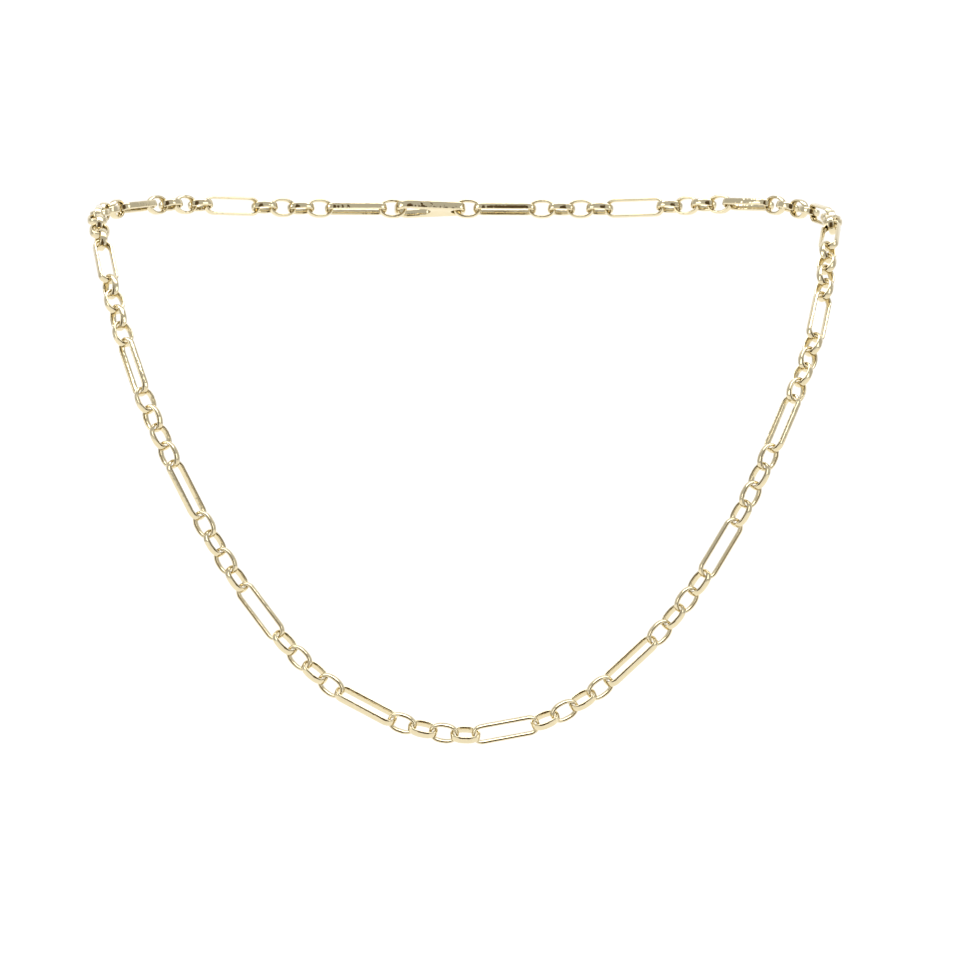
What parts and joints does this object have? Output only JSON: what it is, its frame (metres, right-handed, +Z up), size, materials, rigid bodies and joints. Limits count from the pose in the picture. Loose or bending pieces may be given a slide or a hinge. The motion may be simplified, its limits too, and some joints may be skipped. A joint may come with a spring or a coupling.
{
  "type": "figaro chain necklace",
  "caption": "Fine polished neck chain of long oval links with runs of small oval links between them, in the form it takes when worn.",
  "frame": {"origin": "on the upright axis of the wearer's neck, level with the nape", "axes": "+Z up, the wearer faces -Y, +X to the viewer's right when seen from the front"},
  "size_m": [0.1291, 0.1105, 0.0935],
  "materials": {
    "gold": "polished"
  },
  "bodies": {
    "root": {"long_link_01": "gold", "long_link_02": "gold", "long_link_03": "gold", "long_link_04": "gold", "long_link_05": "gold", "long_link_06": "gold", "long_link_07": "gold", "long_link_08": "gold", "long_link_09": "gold", "long_link_10": "gold", "long_link_11": "gold", "long_link_12": "gold", "long_link_13": "gold", "long_link_14": "gold", "long_link_15": "gold", "long_link_16": "gold", "long_link_17": "gold", "long_link_18": "gold", "long_link_19": "gold", "small_links_left": "gold", "small_links_right": "gold", "clasp": "gold"}
  },
  "joints": []
}
